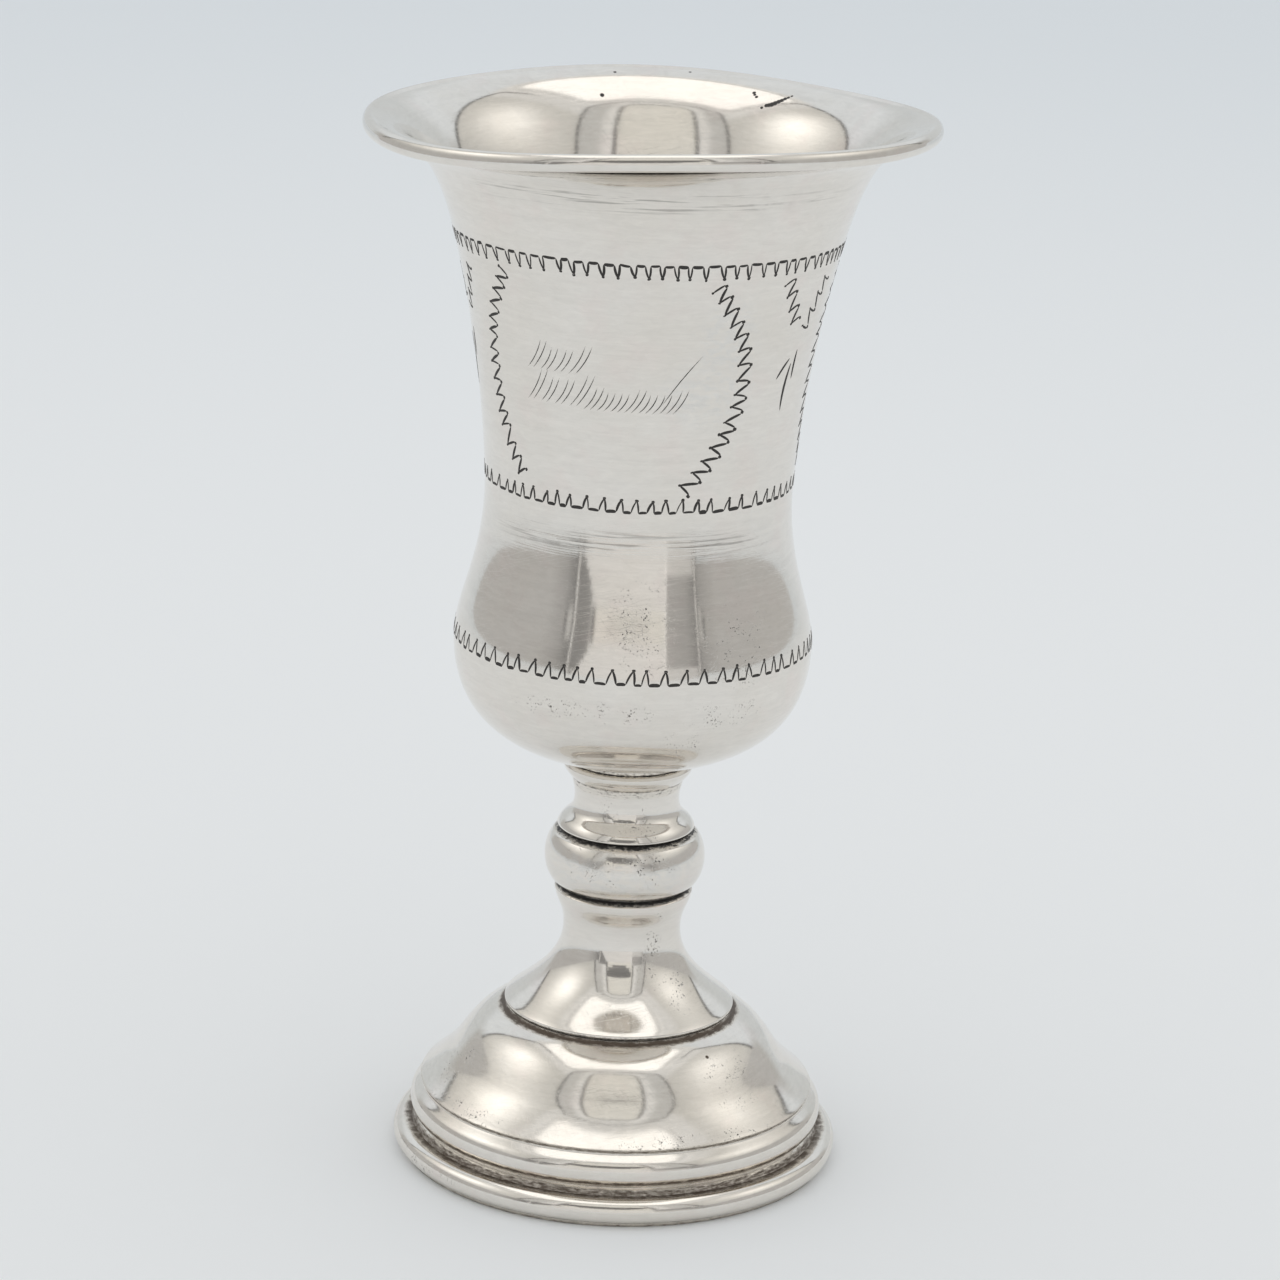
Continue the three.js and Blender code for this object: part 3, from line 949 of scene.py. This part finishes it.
class KIDDUSH_OT_engraving(bpy.types.Operator):
    """Cuts the three borders, the three panels, the three sprigs and the flourish on the bowl"""

    bl_idname = "kiddush.engraving"
    bl_label = "Engraving"

    def execute(self, context):
        shape, finish = context.scene.cup_shape, context.scene.cup_finish
        work = context.scene.cup_engraving
        rng = np.random.default_rng(work.seed)
        cuts = Cuts(BowlFace(shape))
        sizes = {"bar": work.bar_width, "link": work.link_width, "dot": work.dot_width}
        sizes = {key: mm(size) for key, size in sizes.items()} | {"tooth": mm(work.tooth)}

        top, middle, low = mm(work.top_border), mm(work.middle_border), mm(work.low_border)
        border(cuts, sizes, rng, top, top - 1.6, 4.35, 0.68)
        border(cuts, sizes, rng, middle, middle + 1.5, 5.5, 0.64)
        border(cuts, sizes, rng, low, low + 1.7, 5.5, 0.54)

        for centre, half in ((0.0, 48.0), (126.0, 39.0), (-126.0, 39.0)):
            zigzag(cuts, sizes, rng, panel_side(centre, half, 0.7, 0.57), 1.75, -1)
            zigzag(cuts, sizes, rng, panel_side(centre, -0.95 * half, 0.73, 0.69), 1.75, -1)
        for centre in (71.5, -65.0, 180.0):
            self.sprig(cuts, sizes, rng, centre)
        self.flourish(cuts, rng)

        points, faces, depth = cuts.mesh(mm(work.burr))
        new_piece("engraving", points, faces, {"cut": depth}, cut_silver(finish), [])
        return {"FINISHED"}

    @staticmethod
    def sprig(cuts, sizes, rng, centre):
        """A toothed V that hangs from the top border, with three leaf-shaped cuts under it."""
        zigzag(cuts, sizes, rng, straight((centre - 12, 116.3), (centre - 2.3, 109.3)), 1.7, -1)
        zigzag(cuts, sizes, rng, straight((centre + 1.8, 109.2), (centre + 11.5, 116.3)), 1.5, 1)
        leaves = (
            (-1.6, 105.4, -3.4, 99.4, 0.5, 0.3),
            (0.7, 106.9, 0.2, 103.2, 0.42, 0.08),
            (-3.0, 106.0, -8.7, 103.6, 0.4, 0.1),
        )
        for from_angle, from_height, to_angle, to_height, width, bow in leaves:
            start, end = (centre + from_angle, from_height), (centre + to_angle, to_height)
            cuts.add(start, end, width, 1.0, -bow, 2.0)

    @staticmethod
    def flourish(cuts, rng):
        """Two rows of fine, light, bowed, slanting strokes, in pairs, on the front panel: a few
        tall ones on the left, small ones after them, and one long stroke at the right."""
        rows = ((104.6, 4, 3.2, -28, -12), (100.6, 4, 3.6, -29, -12), (100.4, 7, 2.6, -7, 21))
        for base, count, tall, first, last in rows:
            spots = np.linspace(first, last, count)
            heights = tall * (1 + 0.15 * np.cos(np.arange(count) * 2.1))
            for shift, bow in ((0.0, -0.3), (2.3, -0.25)):
                start = np.column_stack([spots + shift, np.full(count, base)])
                end = start + np.column_stack([heights * 1.7, heights])
                cuts.add(start, end, 0.15, 0.34 + 0.04 * rng.random(count), bow, 3.0)
        cuts.add((19.5, 101.4), (32.0, 107.6), 0.15, 0.36, 0.15, 3.0)


# ---------------------------------------------------------------- the stage


def outside(n, across, up, middle, half, corner):
    """How far a place lies outside a rounded rectangle: less than nothing inside it."""
    over = []
    for value, centre, size in zip((across, up), middle, half):
        off = n.maths("ABSOLUTE", n.maths("SUBTRACT", value, centre))
        over.append(n.maths("SUBTRACT", off, size - corner))
    beyond = [n.maths("MAXIMUM", value, 0.0) for value in over]
    past_corner = n.maths("SQRT", n.maths("ADD", *(n.times(value, value) for value in beyond)))
    within = n.maths("MINIMUM", n.maths("MAXIMUM", *over), 0.0)
    return n.maths("SUBTRACT", n.maths("ADD", past_corner, within), corner)


def glow(n, across, up, centre, spread):
    """A round soft spot of light: e to the minus squared distance, in units of its spread."""
    terms = []
    for value, middle, size in zip((across, up), centre, spread):
        off = n.maths("DIVIDE", n.maths("SUBTRACT", value, middle), size)
        terms.append(n.times(off, off))
    return n.maths("EXPONENT", n.times(n.maths("ADD", *terms), -1.0))


# The light tent is a box of white sheets, with the camera looking in through a window in the
# front. Its places are measured in half widths of the box, from the cup: across and up on the
# front, from front to back and up on the sides, and across and from front to back on top.
# Sheets: sides, middle, half size, corner radius, softness and brightness, and for a sheet with a
# dark seam round its edge, the seam's darkness and width.
TENT = (
    ("back", (0.0, 0.0), (1.6, 0.42), 0.1, 0.14, (0.63, 0.66, 0.675)),
    ("left right", (-0.05, 0.92), (0.95, 1.05), 0.12, 0.03, (0.64, 0.635, 0.61)),
    ("left right", (0.0, 0.0), (1.2, 0.42), 0.1, 0.18, (0.50, 0.50, 0.49)),
    ("top", (0.0, 0.0), (0.62, 0.54), 0.1, 0.05, (0.76, 0.76, 0.75)),
    ("front", (0.0, 1.0), (1.09, 1.4), 0.05, 0.02, (0.58, 0.58, 0.57), 0.9, 0.06),
    ("front", (-0.04, 1.0), (0.66, 1.3), 0.2, 0.1, (0.82, 0.82, 0.81)),
    ("front", (-0.04, 0.95), (0.48, 1.12), 0.2, 0.01, (0.78, 0.77, 0.73), 0.85, 0.045),
    ("top", (-0.04, 0.06), (0.47, 0.42), 0.14, 0.08, (1.3, 1.29, 1.26), 0.35, 0.04),
)
# Soft lamps behind the side sheets: side, middle, spread and brightness.
GLOWS = (
    ("left", (0.12, 0.95), (0.44, 0.4), (0.80, 0.79, 0.77)),
    ("right", (0.08, 0.92), (0.44, 0.38), (0.48, 0.47, 0.455)),
)
# The dark seam at the far edge and top of both side sheets, which fades out towards the camera:
# its middle, half size and corner, and then its darkness and the widths of its core and all.
SIDE_SEAM = (-0.4, 0.71), (1.3, 1.26), 0.15
SIDE_SEAM_LINE = 0.9, 0.02, 0.055
SEAM_TONE = (0.12, 0.12, 0.12)

# Cards that stand on the floor, too near to be part of the sheets. Each has a left and a right
# end, as (across, away from the camera, grey), in metres, and then its bottom and its top.
CARDS = (
    # the left side, from the back to the front
    ((-0.45, 0.42, 0.50), (-0.45, -0.25, 0.49), 0.04, 0.2),
    ((-0.45, -0.25, 0.49), (-0.45, -0.40, 0.38), 0.035, 0.2),
    ((-0.45, -0.40, 0.38), (-0.445, -0.49, 0.24), 0.03, 0.2),
    ((-0.445, -0.49, 0.2), (-0.43, -0.5, 0.2), 0.0, 0.26),
    ((-0.43, -0.5, 0.95), (-0.42, -0.505, 0.95), 0.0, 0.26),
    # the dark left of the window, whose bottom edge climbs towards the middle
    ((-0.42, -0.505, 0.26), (-0.385, -0.51, 0.27), 0.0, 0.27),
    ((-0.385, -0.51, 0.27), (-0.355, -0.515, 0.28), 0.045, 0.27),
    ((-0.355, -0.515, 0.28), (-0.33, -0.52, 0.29), 0.09, 0.27),
    ((-0.33, -0.52, 0.29), (-0.305, -0.52, 0.30), 0.13, 0.27),
    ((-0.305, -0.52, 0.30), (-0.285, -0.52, 0.31), 0.165, 0.27),
    # the pale middle, and the dark right of the window
    ((-0.42, -0.53, 0.74), (0.20, -0.53, 0.78), 0.0, 0.2),
    ((0.20, -0.53, 1.1), (0.207, -0.53, 1.1), 0.0, 0.27),
    ((0.207, -0.53, 0.43), (0.36, -0.52, 0.40), 0.1, 0.27),
    ((0.36, -0.52, 0.40), (0.43, -0.50, 0.28), 0.1, 0.27),
    ((0.207, -0.53, 0.66), (0.43, -0.50, 0.60), 0.0, 0.1),
    # the right side, from the front to the back
    ((0.43, -0.50, 0.14), (0.438, -0.495, 0.14), 0.0, 0.27),
    ((0.438, -0.495, 1.0), (0.446, -0.49, 1.0), 0.0, 0.27),
    ((0.446, -0.49, 0.14), (0.448, -0.475, 0.14), 0.0, 0.27),
    ((0.448, -0.475, 0.36), (0.45, -0.30, 0.49), 0.035, 0.2),
    ((0.45, -0.30, 0.49), (0.45, 0.42, 0.52), 0.04, 0.2),
    # the camera and its stand
    ((-0.17, -0.33, 0.21), (0.12, -0.33, 0.21), 0.25, 0.33),
    ((-0.15, -0.33, 0.24), (0.10, -0.33, 0.24), 0.20, 0.25),
    ((-0.10, -0.33, 0.27), (0.06, -0.33, 0.27), 0.165, 0.20),
)


class KIDDUSH_OT_stage(bpy.types.Operator):
    """Lays the pale floor, hangs the soft light and sets up the camera"""

    bl_idname = "kiddush.stage"
    bl_label = "Stage"

    def execute(self, context):
        scene, studio = context.scene, context.scene.cup_studio
        scene.view_settings.view_transform = "Standard"
        self.floor(studio)
        self.light(scene, studio)
        self.cards(studio)
        self.camera(scene, studio)
        return {"FINISHED"}

    @staticmethod
    def staged(name, points, faces, material):
        """A flat-shaded mesh, linked to the scene."""
        mesh = bpy.data.meshes.new(name)
        mesh.from_pydata(points.tolist(), [], faces)
        mesh.materials.append(material)
        thing = bpy.data.objects.new(name, mesh)
        bpy.context.scene.collection.objects.link(thing)
        return thing

    def floor(self, studio):
        """A wide round floor, painted brighter round the cup and slowly darker away from it: a
        painted pool of light.
        """
        sides, below = 64, -2e-5
        rings = np.geomspace(0.05, 30.0, 24)[:, None]
        a = np.linspace(0.0, 2 * math.pi, sides, endpoint=False)
        points = np.stack([rings * np.cos(a), rings * np.sin(a), below + 0 * rings * a], -1)
        points = np.concatenate([[[0.0, 0.0, below]], points.reshape(-1, 3)])
        quads, fans = capsule_faces(len(rings), sides)
        faces = quads[:, ::-1].tolist() + fans[:sides][:, [0, 2, 1]].tolist()
        material = bpy.data.materials.new("pale_floor")
        n = Nodes(material)
        place = n.node("TexCoord").outputs["Object"]
        away = n.node("VectorMath", {0: place}, operation="LENGTH").outputs["Value"]
        # Painted pool of light: brighter near the cup, darker away from it.
        tone = n.blended(n.eased(away, 0.05, 1.3), studio.floor_near, studio.floor_far)
        sockets = {"Base Color": tone, "Roughness": 0.75, "Specular IOR Level": 0.15}
        n.node("OutputMaterial", {0: n.node("BsdfPrincipled", sockets).outputs[0]})
        self.staged("floor", points, faces, material)

    @staticmethod
    def light(scene, studio):
        """A light tent as the world: plain to the camera and to the floor, and sheets and lamps
        to the silver."""
        world = bpy.data.worlds.new("light_tent")
        n = Nodes(world)
        way = {"Vector": n.node("TexCoord").outputs["Generated"], "Angle": -studio.azimuth}
        way = n.node("VectorRotate", way, rotation_type="Z_AXIS").outputs[0]
        x, y, z = n.node("SeparateXYZ", {0: way}).outputs
        sides = {
            "front": (x, z, n.times(y, -1.0)),
            "back": (x, z, y),
            "left": (y, z, n.times(x, -1.0)),
            "right": (y, z, x),
            "top": (x, y, z),
        }
        places, shown = {}, {}
        for side, (across, up, depth) in sides.items():
            ahead = n.maths("MAXIMUM", depth, 0.001)
            places[side] = [n.maths("DIVIDE", value, ahead) for value in (across, up)]
            shown[side] = n.eased(depth, 0.01, 0.05)
        tone = n.node("RGB").outputs[0]
        tone.default_value = (*studio.tent_back, 1.0)
        sheets = [(side, *sheet) for names, *sheet in TENT for side in names.split()]
        for side, middle, half, corner, soft, bright, *seam in sheets:
            off = outside(n, *places[side], middle, half, corner)
            mask = n.times(n.eased(off, -soft, soft, 1.0, 0.0), shown[side])
            tone = n.blended(mask, tone, bright)
            if seam:
                dark, width = seam
                core = 0.4 * width
                line = n.eased(n.maths("ABSOLUTE", off), core, width, dark, 0.0)
                tone = n.blended(n.times(line, shown[side]), tone, SEAM_TONE)
        for side, centre, spread, bright in GLOWS:
            level = n.times(glow(n, *places[side], centre, spread), shown[side])
            lit = {0: tone, 1: n.scaled(bright, level)}
            tone = n.node("VectorMath", lit, operation="ADD").outputs[0]
        dark, core, width = SIDE_SEAM_LINE
        for side in ("left", "right"):
            off = n.maths("ABSOLUTE", outside(n, *places[side], *SIDE_SEAM))
            line = n.times(n.eased(off, core, width, dark, 0.0), shown[side])
            line = n.times(line, n.eased(places[side][0], 0.0, 0.5))
            tone = n.blended(line, tone, SEAM_TONE)
        rays = n.node("LightPath").outputs
        tone = n.blended(rays["Is Diffuse Ray"], tone, studio.sky)
        tone = n.blended(rays["Is Camera Ray"], tone, studio.backdrop)
        background = n.node("Background", {"Color": tone, "Strength": studio.light})
        n.node("OutputWorld", {0: background.outputs[0]})
        scene.world = world

    def cards(self, studio):
        """The low cards of the light tent, which only the silver sees. Each is an upright sheet
        between two corners, turned to face as the camera does."""
        ends = np.array([(left, right) for left, right, *_ in CARDS])
        heights = np.array([(low, high) for *_, low, high in CARDS])
        across, away, grey = np.moveaxis(ends[:, [0, 1, 1, 0]], -1, 0)
        c, s = math.cos(studio.azimuth), math.sin(studio.azimuth)
        points = [across * c - away * s, across * s + away * c, heights[:, [0, 0, 1, 1]]]
        points = np.stack(points, axis=-1).reshape(-1, 3)
        faces = np.arange(len(points)).reshape(-1, 4).tolist()
        material = bpy.data.materials.new("tent_card")
        n = Nodes(material)
        strength = n.times(n.number("glow"), studio.light)
        lamp = n.node("Emission", {"Color": (1.0, 0.995, 0.985, 1.0), "Strength": strength})
        n.node("OutputMaterial", {0: lamp.outputs[0]})
        cards = self.staged("tent_cards", points, faces, material)
        glows = cards.data.attributes.new("glow", "FLOAT", "POINT")
        glows.data.foreach_set("value", grey.astype(np.float32).ravel())
        cards.visible_camera = cards.visible_diffuse = cards.visible_shadow = False
        cards.visible_transmission = cards.visible_volume_scatter = False

    @staticmethod
    def camera(scene, studio):
        """A long lens a little above the mouth, looking down at the middle of the cup."""
        data = bpy.data.cameras.new("camera")
        data.lens, data.sensor_width = studio.lens, 36.0
        data.clip_start, data.clip_end = 0.01, 100.0
        level, drop = math.cos(studio.pitch), -math.sin(studio.pitch)
        look = Vector((math.sin(studio.yaw) * level, math.cos(studio.yaw) * level, drop))
        right = look.cross(Vector((0, 0, 1))).normalized()
        upward = right.cross(look)
        c, s = math.cos(studio.roll), math.sin(studio.roll)
        leaned = Matrix((c * right + s * upward, c * upward - s * right, -look))
        stand = Matrix.Translation((0, -studio.distance, studio.height))
        turned_round = Matrix.Rotation(studio.azimuth, 4, "Z")
        camera = bpy.data.objects.new("camera", data)
        camera.matrix_world = turned_round @ stand @ leaned.transposed().to_4x4()
        scene.collection.objects.link(camera)
        scene.camera = camera


# ---------------------------------------------------------------- the add-on

OPERATORS = (
    KIDDUSH_OT_bowl,
    KIDDUSH_OT_stem,
    KIDDUSH_OT_foot,
    KIDDUSH_OT_engraving,
    KIDDUSH_OT_stage,
)
SETTINGS = (
    ("cup_shape", CupShape),
    ("cup_engraving", CupEngraving),
    ("cup_finish", CupFinish),
    ("cup_studio", CupStudio),
)


class KIDDUSH_PT_panel(bpy.types.Panel):
    """Lists the steps that build the cup, and its settings"""

    bl_idname = "KIDDUSH_PT_panel"
    bl_label = "Kiddush Cup"
    bl_space_type = "VIEW_3D"
    bl_region_type = "UI"
    bl_category = "Kiddush Cup"

    def draw(self, context):
        for operator in OPERATORS:
            self.layout.operator(operator.bl_idname)
        for name, group in SETTINGS:
            box = self.layout.box()
            for key in group.__annotations__:
                box.prop(getattr(context.scene, name), key)


def register():
    for _, group in SETTINGS:
        bpy.utils.register_class(group)
    for name, group in SETTINGS:
        setattr(bpy.types.Scene, name, PointerProperty(type=group))
    for kind in (*OPERATORS, KIDDUSH_PT_panel):
        bpy.utils.register_class(kind)


def unregister():
    for kind in (KIDDUSH_PT_panel, *reversed(OPERATORS)):
        bpy.utils.unregister_class(kind)
    for name, group in reversed(SETTINGS):
        delattr(bpy.types.Scene, name)
        bpy.utils.unregister_class(group)


def main():
    """Builds the cup and its studio."""
    register()
    bpy.ops.kiddush.bowl()
    bpy.ops.kiddush.stem()
    bpy.ops.kiddush.foot()
    bpy.ops.kiddush.engraving()
    bpy.ops.kiddush.stage()


if __name__ == "__main__":
    main()
